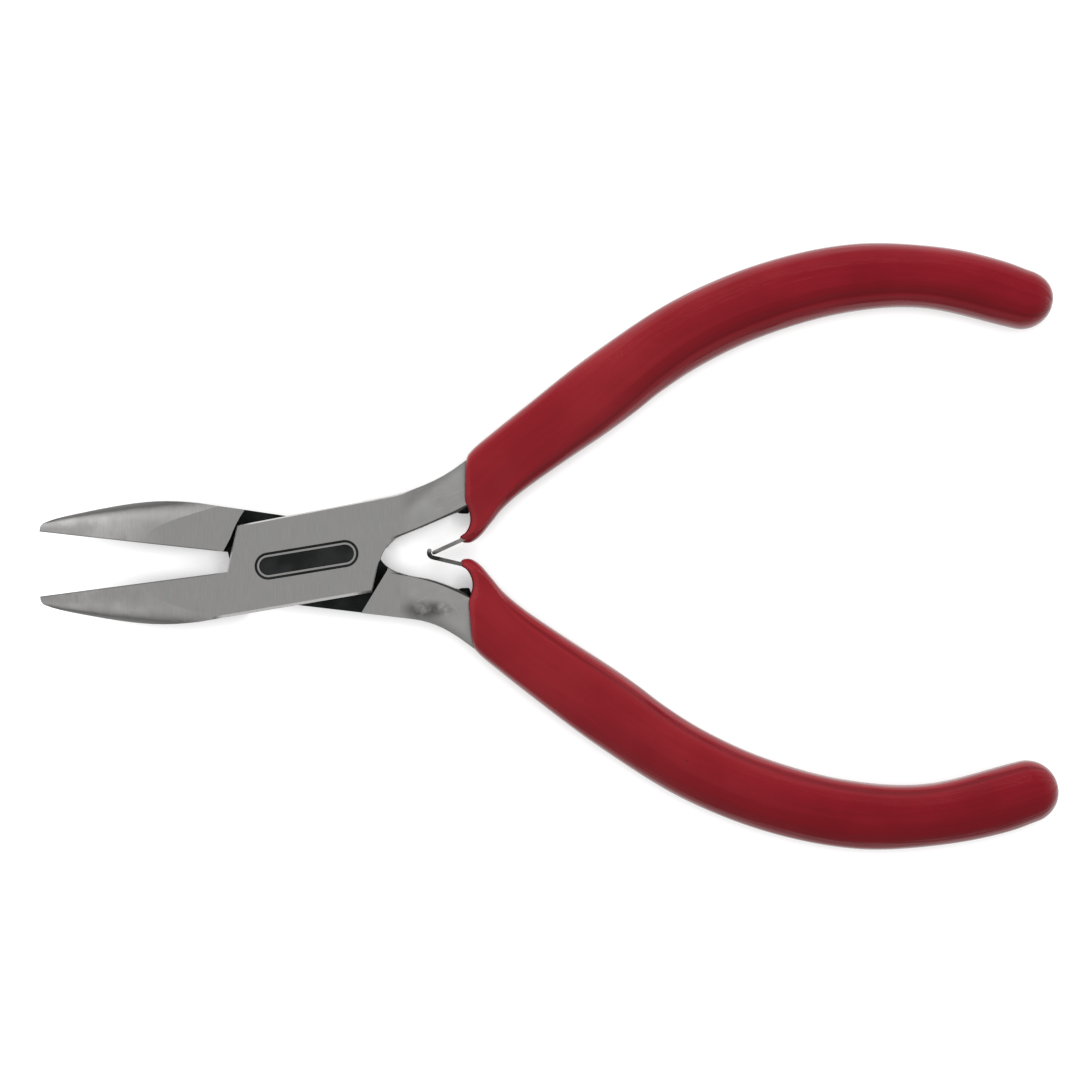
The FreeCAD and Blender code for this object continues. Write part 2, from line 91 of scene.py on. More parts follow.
class Graph:
    """Short names for the nodes that the materials and the sky are made of."""

    def __init__(self, owner):
        self.nodes = owner.node_tree.nodes
        self.links = owner.node_tree.links
        coordinates = self.nodes.new("ShaderNodeTexCoord")
        self.place = coordinates.outputs["Object"]
        self.normal = coordinates.outputs["Normal"]
        self.direction = coordinates.outputs["Generated"]

    def put(self, value, socket):
        if isinstance(value, (int, float, tuple)):
            socket.default_value = value
        else:
            self.links.new(value, socket)

    def math(self, operation, a, b=0.0):
        node = self.nodes.new("ShaderNodeMath")
        node.operation = operation
        self.put(a, node.inputs[0])
        self.put(b, node.inputs[1])
        return node.outputs[0]

    def chain(self, operation, values):
        result = values[0]
        for value in values[1:]:
            result = self.math(operation, result, value)
        return result

    def total(self, *values):
        return self.chain("ADD", values)

    def product(self, *values):
        return self.chain("MULTIPLY", values)

    def most(self, *values):
        return self.chain("MAXIMUM", values)

    def less(self, a, b):
        return self.math("SUBTRACT", a, b)

    def size(self, value):
        """The value without its sign."""
        return self.math("ABSOLUTE", value)

    def vector(self, operation, a, b=(0, 0, 0), scale=None):
        node = self.nodes.new("ShaderNodeVectorMath")
        node.operation = operation
        self.put(a, node.inputs[0])
        self.put(b, node.inputs[1])
        if scale is not None:
            self.put(scale, node.inputs["Scale"])
        return node.outputs["Value" if operation == "LENGTH" else "Vector"]

    def split(self, vector):
        node = self.nodes.new("ShaderNodeSeparateXYZ")
        self.put(vector, node.inputs[0])
        return node.outputs

    def place_mm(self):
        return self.split(self.vector("SCALE", self.place, scale=1 / MM))

    def distance(self, centre=(0.0, 0.0, 0.0), stretch=(1.0, 1.0, 0.0)):
        """How many mm away the centre is, with each axis stretched; 0 leaves an axis out."""
        offset = self.vector("SUBTRACT", self.place, tuple(c * MM for c in centre))
        return self.vector("LENGTH", self.vector("MULTIPLY", offset, tuple(s / MM for s in stretch)))

    def ramp(self, value, low, high):
        """0 below low, 1 above high, smooth between; the other way round if low is the larger."""
        node = self.nodes.new("ShaderNodeMapRange")
        node.interpolation_type = "SMOOTHSTEP"
        self.put(value, node.inputs["Value"])
        flip = low > high
        self.put(min(low, high), node.inputs["From Min"])
        self.put(max(low, high), node.inputs["From Max"])
        self.put(1.0 if flip else 0.0, node.inputs["To Min"])
        self.put(0.0 if flip else 1.0, node.inputs["To Max"])
        return node.outputs["Result"]

    def scaled(self, value, low, high, from_low=0.0, from_high=1.0):
        node = self.nodes.new("ShaderNodeMapRange")
        self.put(value, node.inputs["Value"])
        self.put(from_low, node.inputs["From Min"])
        self.put(from_high, node.inputs["From Max"])
        self.put(low, node.inputs["To Min"])
        self.put(high, node.inputs["To Max"])
        return node.outputs["Result"]

    def noise(self, stretch=(1.0, 1.0, 1.0), scale=1000.0, detail=3.0, roughness=0.5, turn=0.0):
        """Noise with a scale per metre, stretched along each axis and turned about Z."""
        mapping = self.nodes.new("ShaderNodeMapping")
        mapping.vector_type = "TEXTURE"
        self.put(self.place, mapping.inputs["Vector"])
        mapping.inputs["Rotation"].default_value = (0, 0, math.radians(turn))
        mapping.inputs["Scale"].default_value = stretch
        node = self.nodes.new("ShaderNodeTexNoise")
        self.links.new(mapping.outputs[0], node.inputs["Vector"])
        node.inputs["Scale"].default_value = scale
        node.inputs["Detail"].default_value = detail
        node.inputs["Roughness"].default_value = roughness
        return node.outputs["Fac"]

    def vary(self, noise, low, high):
        """A number that goes from low to high over the noise's usual range."""
        return self.scaled(noise, low, high, 0.3, 0.7)

    def mix(self, share, a, b):
        node = self.nodes.new("ShaderNodeMix")
        node.data_type = "RGBA"
        self.put(share, node.inputs["Factor"])
        self.put(a if not isinstance(a, tuple) else (*a, 1.0), node.inputs["A"])
        self.put(b if not isinstance(b, tuple) else (*b, 1.0), node.inputs["B"])
        return node.outputs["Result"]

    def mottled(self, noise, colours, reach=0.15):
        """A mix of two colours that changes over within reach of the noise's middle."""
        return self.mix(self.ramp(noise, 0.5 - reach, 0.5 + reach), *colours)

    def layer(self, colour, mask, strength, tint):
        """The colour with some of the tint over it, where the mask is."""
        return self.mix(self.product(mask, strength), colour, tint)

    def shaded(self, colour, shade):
        return self.vector("SCALE", colour, scale=shade)

    def blend(self, share, a, b):
        """A number between a and b."""
        node = self.nodes.new("ShaderNodeMix")
        node.data_type = "FLOAT"
        self.put(share, node.inputs["Factor"])
        self.put(a, node.inputs["A"])
        self.put(b, node.inputs["B"])
        return node.outputs["Result"]

    def bump(self, height, depth, strength=1.0, before=None):
        """A normal with bumps of a depth in mm, over another normal if there is one before it."""
        node = self.nodes.new("ShaderNodeBump")
        node.inputs["Strength"].default_value = strength
        node.inputs["Distance"].default_value = depth * MM
        self.links.new(height, node.inputs["Height"])
        if before is not None:
            self.links.new(before, node.inputs["Normal"])
        return node.outputs["Normal"]


GROUND_STEEL = (0.505, 0.490, 0.480), (0.490, 0.492, 0.480)
BRIGHT_STEEL = (0.51, 0.50, 0.49), (0.62, 0.61, 0.60)
OXIDE_AND_SHADE = (0.030, 0.033, 0.033), (0.052, 0.056, 0.056)
SIDE_SHADE_STEEL = (0.09, 0.09, 0.088)
JAW_SIDE_SHADE_STEEL = (0.045, 0.045, 0.044)
EDGE_HIGHLIGHT_STEEL = (0.62, 0.61, 0.60)
STAIN_AND_EDGE_SHADE = (0.06, 0.06, 0.058)

GRIND_TURN = 0.6            # the grinding marks run this far from square across the tool
NECK_FROM = (10.0, 12.5)    # along X, the joint's look gives way to the necks'
JAW_FROM = (-9.5, -10.5)    # and to the jaws'
NOSE_FROM = (-15.0, -23.5)  # and the jaws' to the brighter noses'
NOSE_PAINTED_LIGHT = (0.96, 1.16)  # painted light and shade, on the lower and on the upper jaw
SMUDGE_AT = (13.7, -5.6, 6.6)


def steel_material():
    """Ground tool steel: brushed faces, dark oxide in the lap, a sunk dark label field with a bright ring."""
    material, shader = new_material("ground_steel")
    g = Graph(material)
    x, y, z = g.place_mm()
    up = g.size(g.split(g.normal)[2])
    mottle = g.noise(scale=420)
    on_neck = g.ramp(x, *NECK_FROM)
    # The handles' mirror line meets the jaws' closing line in the joint
    mirror = g.scaled(g.ramp(x, 5.0, 16.0), 0.3 * MIRROR_Y, MIRROR_Y)
    out = g.size(g.less(y, mirror))

    grain = steel_grain(g, on_neck)
    colour = g.shaded(steel_colour(g, x, y, mottle), steel_grain_and_painted_shade(g, x, out, on_neck, grain))
    # Painted shade: steep side faces darker, and the jaws' sides darker still
    colour = g.layer(colour, g.ramp(up, 0.40, 0.25), 0.55, SIDE_SHADE_STEEL)
    on_jaw = g.ramp(x, *JAW_FROM)
    colour = g.layer(colour, g.product(g.ramp(up, 0.90, 0.62), on_jaw), 0.90, JAW_SIDE_SHADE_STEEL)
    # Painted highlight on the plate's bevel
    colour = g.layer(colour, plate_edge_highlight(g, z, up), 0.60, EDGE_HIGHLIGHT_STEEL)
    colour = g.layer(colour, smudge(g), 0.75, STAIN_AND_EDGE_SHADE)
    # Painted shade along the edges of the jaws' flat faces, in the smudge's dark colour
    colour = g.layer(colour, g.product(jaw_edge_shade(g, x, y), on_jaw), 0.55, STAIN_AND_EDGE_SHADE)
    dark = g.most(lap_mask(g, z, up), foot_mask(g, x, z, out), label_mask(g, z))
    # Painted shade along the necks' inner edges, in the oxide's colour
    line = g.product(neck_edge_shade(g, x, up, out), 0.9)
    colour = g.mix(g.most(dark, line), colour, g.mottled(mottle, OXIDE_AND_SHADE))

    g.put(colour, shader.inputs["Base Color"])
    g.put(g.blend(dark, g.vary(grain, 0.30, 0.46), 0.55), shader.inputs["Roughness"])
    shader.inputs["Metallic"].default_value = 1.0
    g.put(g.bump(grain, 0.02, 0.5), shader.inputs["Normal"])
    return material


def steel_grain(g, on_neck):
    """Grinding marks across the tool on the joint and jaws, which fade out on the smoother, worn necks."""
    streaks = g.noise((0.03, 1.0, 1.0), scale=450, detail=4, roughness=0.6, turn=GRIND_TURN)
    fine = g.noise((0.03, 0.6, 0.6), scale=1500, detail=2, turn=GRIND_TURN)
    worn = g.noise(scale=230, detail=4, roughness=0.6, turn=30)
    brushed = g.total(g.product(streaks, 0.6), g.product(fine, 0.4))
    return g.blend(on_neck, brushed, g.total(g.product(worn, 0.8), g.product(fine, 0.2)))


def steel_colour(g, x, y, mottle):
    """The ground steel's faint bands, which give way to the brighter noses, with the upper jaw's nose painted
    lighter than the lower jaw's.
    """
    bands = g.noise((0.35, 6.0, 6.0), scale=900, detail=1, turn=GRIND_TURN)
    ground = g.mottled(bands, GROUND_STEEL, 0.10)
    # Painted light: the upper jaw's nose lighter than the lower jaw's
    nose_painted_light = g.blend(g.ramp(y, -1.0, 1.0), *NOSE_PAINTED_LIGHT)
    bright = g.shaded(g.mottled(mottle, BRIGHT_STEEL, 0.12), nose_painted_light)
    return g.mix(g.ramp(x, *NOSE_FROM), ground, bright)


def steel_grain_and_painted_shade(g, x, out, on_neck, grain):
    """The grain's light and dark. The necks also have scratches, and painted shade that darkens them towards
    their outer edges, with a painted highlight towards their inner edges.
    """
    scratches = g.noise((1.0, 0.03, 1.0), scale=260, detail=2, turn=24)
    scratched = g.product(g.ramp(scratches, 0.66, 0.72), on_neck, 0.22)
    outward = g.less(out, g.product(x, 0.75))
    neck_painted_shade = g.blend(g.ramp(outward, -4.4, -2.6), 1.12, 0.74)
    return g.product(g.total(g.vary(grain, 0.86, 1.14), scratched), g.blend(on_neck, 1.0, neck_painted_shade))


def neck_edge_shade(g, x, up, out):
    """Painted shade: a thin dark line along the necks' inner edges."""
    along = g.less(x, NECK_START[0])
    slope = g.total(g.product(along, NECK_CURVE), NECK_SLOPE)
    inner_edge = g.total(g.product(along, slope), NECK_START[1])
    return g.product(g.ramp(g.less(out, inner_edge), 0.26, 0.12), g.ramp(x, 9.2, 10.4), g.ramp(up, 0.5, 0.8))


def jaw_edge_shade(g, x, y):
    """Painted shade: the dark line along the edges of the jaws' flat faces."""
    way = math.radians(JAW_OPENING)
    off_face = g.total(g.product(g.size(y), math.cos(way)), g.product(x, math.sin(way)))
    return g.ramp(off_face, 0.22, 0.08)


def plate_edge_highlight(g, z, up):
    """The painted highlight on the bevel round the top plate, on the sides that face -X or +Y."""
    nx, ny, _ = g.split(g.normal)
    return g.product(g.ramp(up, 0.55, 0.62), g.ramp(up, 0.85, 0.78), g.ramp(z, 6.3, 6.4),
                     g.ramp(g.distance(), JOINT_RADIUS + 0.5, JOINT_RADIUS + 0.2),
                     g.ramp(g.less(ny, nx), 0.1, 0.4))


def smudge(g):
    """The dark smudge on the lower neck."""
    reach = g.distance(SMUDGE_AT, stretch=(0.55, 1.6, 0.6))
    blotches = g.noise(scale=600, detail=4, roughness=0.65)
    return g.product(g.ramp(reach, 2.2, 0.4), g.ramp(blotches, 0.32, 0.58))


def lap_mask(g, z, up):
    """The lap's faces and the walls round it, where the dark oxide was never ground off."""
    from_pivot = g.distance()
    faces = g.product(g.ramp(z, LAP[0] - 0.05, LAP[0]), g.ramp(z, LAP[1] + 0.05, LAP[1]),
                      g.ramp(up, 0.8, 0.95), g.ramp(from_pivot, JOINT_RADIUS + 0.8, JOINT_RADIUS + 0.4))
    walls = g.product(g.ramp(from_pivot, JOINT_RADIUS + 0.1, JOINT_RADIUS - 0.2), g.ramp(up, 0.45, 0.25))
    return g.most(faces, walls)


def foot_mask(g, x, z, out):
    """The corner of the bar beside the root pieces, which is as dark as they are."""
    return g.product(g.ramp(x, 16.6, 16.8), g.ramp(x, 18.2, 18.1),
                     g.ramp(z, 5.08, 5.04), g.ramp(out, 6.1, 6.0))


LABEL_HALF_LENGTH = 4.37    # pivot to the centre of each round end
LABEL_REACH = 1.71          # from that centre to just past the sunk field's outer edge
LABEL_TILT = 8.7            # at rest


def label_mask(g, z):
    """The sunk part of the label: inside its outer edge, and below the plate's face."""
    mapping = g.nodes.new("ShaderNodeMapping")
    mapping.vector_type = "TEXTURE"
    g.put(g.place, mapping.inputs["Vector"])
    mapping.inputs["Rotation"].default_value = (0, 0, math.radians(LABEL_TILT))
    x, y, _ = g.split(g.vector("SCALE", mapping.outputs[0], scale=1 / MM))
    past_end = g.most(g.less(g.size(x), LABEL_HALF_LENGTH), 0.0)
    distance = g.math("SQRT", g.total(g.product(past_end, past_end), g.product(y, y)))
    return g.product(g.ramp(distance, LABEL_REACH + 0.05, LABEL_REACH),
                     g.ramp(z, HEIGHT - 0.03, HEIGHT - 0.06), g.ramp(z, 5.0, 5.5))


ROOT_BLACK = (0.008, 0.009, 0.009), (0.016, 0.018, 0.018)


def root_material():
    """The near-black root of the bar, in the corner between the neck and the coat's lip."""
    material, shader = new_material("near_black_root")
    g = Graph(material)
    scale = g.noise(scale=900)
    g.put(g.mix(scale, *ROOT_BLACK), shader.inputs["Base Color"])
    g.put(g.vary(scale, 0.45, 0.65), shader.inputs["Roughness"])
    shader.inputs["Metallic"].default_value = 1.0
    g.put(g.bump(scale, 0.03, 0.5), shader.inputs["Normal"])
    return material


SPRING_STEEL = (0.30, 0.29, 0.285), (0.42, 0.41, 0.40)
LEAF_PAINTED_LIGHT = (1.15, 0.55)      # painted light and shade, of the upper leaf and of the lower one
HOOK = (14.25, 0.82, 0.0)
HOOK_PAINTED_SHADE = 0.25


def spring_material():
    """Polished spring strip, with painted light and shade: the upper leaf lighter, the hooked lower leaf
    darker, and nearly black at its hook.
    """
    material, shader = new_material("spring_strip")
    g = Graph(material)
    rub = g.noise((1.0, 1.0, 0.06), scale=800)
    lower_leaf = g.ramp(g.place_mm()[1], 1.1, 0.6)
    at_hook = g.product(g.ramp(g.distance(HOOK), 1.2, 0.8), lower_leaf)
    # Painted light and shade: the upper leaf lighter, the lower leaf darker, its hook darker still
    shade = g.product(g.blend(lower_leaf, *LEAF_PAINTED_LIGHT), g.blend(at_hook, 1.0, HOOK_PAINTED_SHADE))
    colour = g.mottled(g.noise(scale=900), SPRING_STEEL)
    g.put(g.shaded(colour, g.product(g.vary(rub, 0.85, 1.15), shade)), shader.inputs["Base Color"])
    g.put(g.vary(rub, 0.25, 0.42), shader.inputs["Roughness"])
    shader.inputs["Metallic"].default_value = 1.0
    g.put(g.bump(rub, 0.01, 0.4), shader.inputs["Normal"])
    return material


RIVET_STEEL = (0.52, 0.51, 0.50)
TURNING_MARKS = 42.0            # radians per mm


def rivet_material():
    """Turned rivet steel with faint rings round the pivot axis."""
    material, shader = new_material("turned_rivet")
    g = Graph(material)
    rings = g.math("SINE", g.product(g.distance(), TURNING_MARKS))
    mottle = g.noise(scale=700, detail=4)
    shade = g.total(g.product(rings, 0.04), g.vary(mottle, 0.88, 1.12))
    g.put(g.shaded(RIVET_STEEL, shade), shader.inputs["Base Color"])
    g.put(g.vary(mottle, 0.26, 0.42), shader.inputs["Roughness"])
    shader.inputs["Metallic"].default_value = 1.0
    g.put(g.bump(rings, 0.004, 0.5), shader.inputs["Normal"])
    return material


DEEP_RED = (0.165, 0.0015, 0.007), (0.195, 0.003, 0.010)
DUSTY_RED = (0.200, 0.006, 0.012), (0.228, 0.010, 0.016)
INNER_BAND_HIGHLIGHT = (0.24, 0.028, 0.034)
PAINTED_SHADE_RED = (0.150, 0.0008, 0.005)
CREASE_SHADE_RED = (0.08, 0.001, 0.004)
SPECK = (0.05, 0.008, 0.010)
RIM_HIGHLIGHT_RED = (0.30, 0.035, 0.040)
WEB_EDGE_SHADE_RED = (0.05, 0.001, 0.003)
FLANK_SHADE_RED = (0.045, 0.002, 0.005)
DEEP_FROM = (34.0, 62.0)        # along X, the dusty red in front gives way to the deep red
RUNS = (0.04, 0.75, 0.5)        # scale of the runs in the dip, per mm along, across and up


def vinyl_material():
    """Dipped vinyl: deep glossy red, uneven from the dip, with a few dark specks, and with painted highlights
    and painted shade on its bands, crease, lip and flanks.
    """
    material, shader = new_material("dipped_vinyl")
    g = Graph(material)
    x, y, _ = g.place_mm()
    cloud = g.noise(scale=110)
    flow = g.nodes.new("ShaderNodeAttribute")
    flow.attribute_name = "flow"
    along, across, _ = g.split(flow.outputs["Vector"])

    colour = g.mix(g.ramp(x, *DEEP_FROM), g.mottled(cloud, DUSTY_RED), g.mottled(cloud, DEEP_RED))
    creased = g.ramp(along, 1.0, 6.0)
    # Painted highlight: the band from the crease to the inner edge is lighter
    colour = g.layer(colour, g.product(g.ramp(across, 0.1, 0.6), creased), 0.30, INNER_BAND_HIGHLIGHT)
    # Painted shade in the crease
    colour = g.layer(colour, g.product(g.ramp(g.size(across), 0.34, 0.08), creased), 0.42, CREASE_SHADE_RED)
    # Painted shade, a deeper red: beside the crease on the upper handle, and on the lower handle's outer side
    upper = g.ramp(y, -1.0, 1.0)
    crease_side_shade = g.product(g.ramp(across, -1.50, -1.25), g.ramp(across, 0.2, 0.0),
                          g.ramp(x, 30.0, 40.0), upper)
    outer_side_shade = g.product(g.ramp(across, -3.6, -4.3), g.ramp(x, 30.0, 45.0), g.less(1.0, upper))
    colour = g.layer(colour, g.most(crease_side_shade, outer_side_shade), 0.50, PAINTED_SHADE_RED)
    colour = g.layer(colour, specks(g), 0.55, SPECK)
    # The lip: a painted highlight as a lighter rim round its top, and painted shade as a dark edge where the
    # web of vinyl begins
    colour = g.layer(colour, g.product(g.ramp(along, 0.2, 0.4), g.ramp(along, 1.1, 0.7)), 0.28, RIM_HIGHLIGHT_RED)
    colour = g.layer(colour, g.product(g.ramp(along, 0.5, 0.2), g.ramp(across, -3.0, -2.4)), 0.60, WEB_EDGE_SHADE_RED)
    # Painted shade: the steep flanks darker
    colour = g.layer(colour, g.ramp(g.size(g.split(g.normal)[2]), 0.42, 0.12), 0.55, FLANK_SHADE_RED)

    runs = g.nodes.new("ShaderNodeTexNoise")
    g.put(g.vector("MULTIPLY", flow.outputs["Vector"], RUNS), runs.inputs["Vector"])
    runs.inputs["Scale"].default_value = 1.0
    runs.inputs["Detail"].default_value = 3.0
    lumps = g.bump(runs.outputs["Fac"], 0.22, 0.9, before=g.bump(cloud, 0.35, 0.5))
    orange_peel = g.noise(scale=520, detail=2)

    g.put(colour, shader.inputs["Base Color"])
    g.put(g.vary(cloud, 0.12, 0.22), shader.inputs["Roughness"])
    shader.inputs["IOR"].default_value = 1.5
    shader.inputs["Specular IOR Level"].default_value = 0.22
    g.put(g.bump(orange_peel, 0.03, 0.4, before=lumps), shader.inputs["Normal"])
    return material


def specks(g):
    """A few small spots, at the middle of some of a Voronoi texture's cells."""
    cells = g.nodes.new("ShaderNodeTexVoronoi")
    cells.inputs["Scale"].default_value = 420.0
    g.put(g.place, cells.inputs["Vector"])
    spot = g.ramp(cells.outputs["Distance"], 0.075, 0.03)
    chosen = g.ramp(g.split(cells.outputs["Color"])[0], 0.72, 0.75)
    return g.product(spot, chosen)


PAPER = (0.30, 0.30, 0.30), (0.32, 0.32, 0.32)
CONTACT_REACH = 2.6             # the floor glows less this near the tool, as in a soft shadow
GLOW = (0.38, 1.06)             # where the floor is most closed in, and in the open


def floor_material():
    """A pale floor that glows a little, so that it is as white as the photo's background."""
    material, shader = new_material("pale_floor")
    g = Graph(material)
    g.put(g.mix(g.noise(scale=60, detail=2), *PAPER), shader.inputs["Base Color"])
    shader.inputs["Roughness"].default_value = 0.85
    shader.inputs["Emission Color"].default_value = (1.0, 1.0, 1.0, 1.0)
    # Painted soft shadow: the floor glows less where ambient occlusion finds the tool close by
    painted_contact_shadow = g.nodes.new("ShaderNodeAmbientOcclusion")
    painted_contact_shadow.samples = 6
    painted_contact_shadow.inputs["Distance"].default_value = CONTACT_REACH * MM
    g.put(g.scaled(painted_contact_shadow.outputs["AO"], *GLOW, 0.30, 0.88), shader.inputs["Emission Strength"])
    shader.inputs["Specular IOR Level"].default_value = 0.0
    return material


# ---------------------------------------------------------------- dipped handles

# Outlines seen from above, with y measured from the handles' mirror line
OUTER = [(18.05, 10.72), (18.9, 11.62), (20.9, 13.25), (24.6, 16.15), (32.0, 21.85), (42.0, 28.24),
         (52.2, 32.30), (62.3, 34.17), (72.5, 33.60), (79.0, 32.36)]
INNER = [(17.20, 0.94), (18.3, 0.90), (19.3, 1.48), (20.6, 2.95), (22.0, 4.65), (24.2, 6.55), (28.6, 9.62),
         (34.0, 13.2), (37.2, 15.5), (39.9, 17.6), (44.4, 20.5), (51.1, 23.65), (60.2, 26.25), (69.2, 26.88)]
FRONT = [(18.05, 10.72), (17.92, 9.4), (17.86, 7.3), (17.84, 5.5), (18.12, 4.75), (18.35, 3.9), (18.30, 3.0),
         (17.85, 2.1), (17.22, 1.6), (17.20, 0.94)]
LIP_SHIFT = (0.55, 0.28)    # of the lower handle's lip at its outer end, against the upper one's
END_CENTRE = (80.8, 27.92)
END_RADIUS = 3.60
END_AXIS = -15.3            # the way that the handle's end points
END_HALF_ANGLE = 87.3       # where the end's arc meets the long edges, from that way
END_ROUNDING = {1: 0.42, -1: 0.10}  # by side: how much the end's outer shoulder is cut back

HANDLE_WIDTH = 8.0          # about
STATIONS = 110              # rings along the handle
HALF_RING = 48              # steps over the top of a ring, from the outer edge to the inner
END_RINGS = 16
WEB_LEVELS = 6              # faces from the top to the bottom of the web at the front
LIP_ROUNDING = 0.38
LIP_SHARE = 0.005           # of the handle's length, taken up by the lip's rounding
LIP_STEPS = (90, 60, 30, 0) # turn of each ring of that rounding
FRONT_SHARE = 0.16          # of the handle's length: the front's own outline fades out over it
SQUARE_SHARE = 0.35         # and the squarer section of the lip over this
END_SHARE = 0.84            # the end's rounding starts here
CROWDING = 1.35             # more than 1 puts the rings closer together near the lip
NOSE_THINNING = 0.72        # the coat round the leaf is this much lower than the handle on each side
NECK_DEPTH = (1.2, 1.056)   # how far the opening for the neck goes in
NECK_SHARE = 0.56           # the opening's part of the front, from the outer edge
OUTER_POWER = 2.6           # of the section's curve: 2 is an ellipse, more is squarer
INNER_POWER = 2.3
LIP_POWER = 4.9
END_POWER = 2.4
CREASE_DEPTH = 0.11         # the faint crease beside the inner edge, where the coat leaves the bar
CREASE_AT = {1: (0.90, 0.77), -1: (0.87, 0.88)}     # share of the width, by side: in front, and behind
CREASE_WIDTH = 0.04
SPLINE_STEPS = 24           # between two points of an outline


def spline(points):
    """A centripetal Catmull-Rom curve through the points, as a function of 0 to 1 by length."""
    vectors = [Vector(p) for p in points]
    first = vectors[0] * 2 - vectors[1]
    last = vectors[-1] * 2 - vectors[-2]
    knots = [first] + vectors + [last]
    samples = []
    for p0, p1, p2, p3 in zip(knots, knots[1:], knots[2:], knots[3:]):
        t0 = 0.0
        t1 = t0 + math.sqrt((p1 - p0).length)
        t2 = t1 + math.sqrt((p2 - p1).length)
        t3 = t2 + math.sqrt((p3 - p2).length)
        for step in range(SPLINE_STEPS):
            t = t1 + (t2 - t1) * step / SPLINE_STEPS
            a1 = p0 * ((t1 - t) / (t1 - t0)) + p1 * ((t - t0) / (t1 - t0))
            a2 = p1 * ((t2 - t) / (t2 - t1)) + p2 * ((t - t1) / (t2 - t1))
            a3 = p2 * ((t3 - t) / (t3 - t2)) + p3 * ((t - t2) / (t3 - t2))
            b1 = a1 * ((t2 - t) / (t2 - t0)) + a2 * ((t - t0) / (t2 - t0))
            b2 = a2 * ((t3 - t) / (t3 - t1)) + a3 * ((t - t1) / (t3 - t1))
            samples.append(b1 * ((t2 - t) / (t2 - t1)) + b2 * ((t - t1) / (t2 - t1)))
    samples.append(vectors[-1])
    lengths = [0.0]
    for a, b in zip(samples, samples[1:]):
        lengths.append(lengths[-1] + (b - a).length)

    def at(share):
        goal = max(0.0, min(1.0, share)) * lengths[-1]
        low, high = 0, len(lengths) - 1
        while high - low > 1:
            middle = (low + high) // 2
            if lengths[middle] <= goal:
                low = middle
            else:
                high = middle
        span = lengths[high] - lengths[low]
        return samples[low].lerp(samples[high], (goal - lengths[low]) / span if span else 0.0)

    return at


def smooth(t, low, high):
    t = max(0.0, min(1.0, (t - low) / (high - low)))
    return t * t * (3 - 2 * t)


def smooth_object(name, mesh):
    """An object in the scene from a bmesh in mm."""
    for vertex in mesh.verts:
        vertex.co *= MM
    data = bpy.data.meshes.new(name)
    mesh.to_mesh(data)
    mesh.free()
    data.shade_smooth()
    made = bpy.data.objects.new(name, data)
    bpy.context.scene.collection.objects.link(made)
    return made


def end_point(degrees):
    a = math.radians(END_AXIS + degrees)
    return END_CENTRE[0] + END_RADIUS * math.cos(a), END_CENTRE[1] + END_RADIUS * math.sin(a)


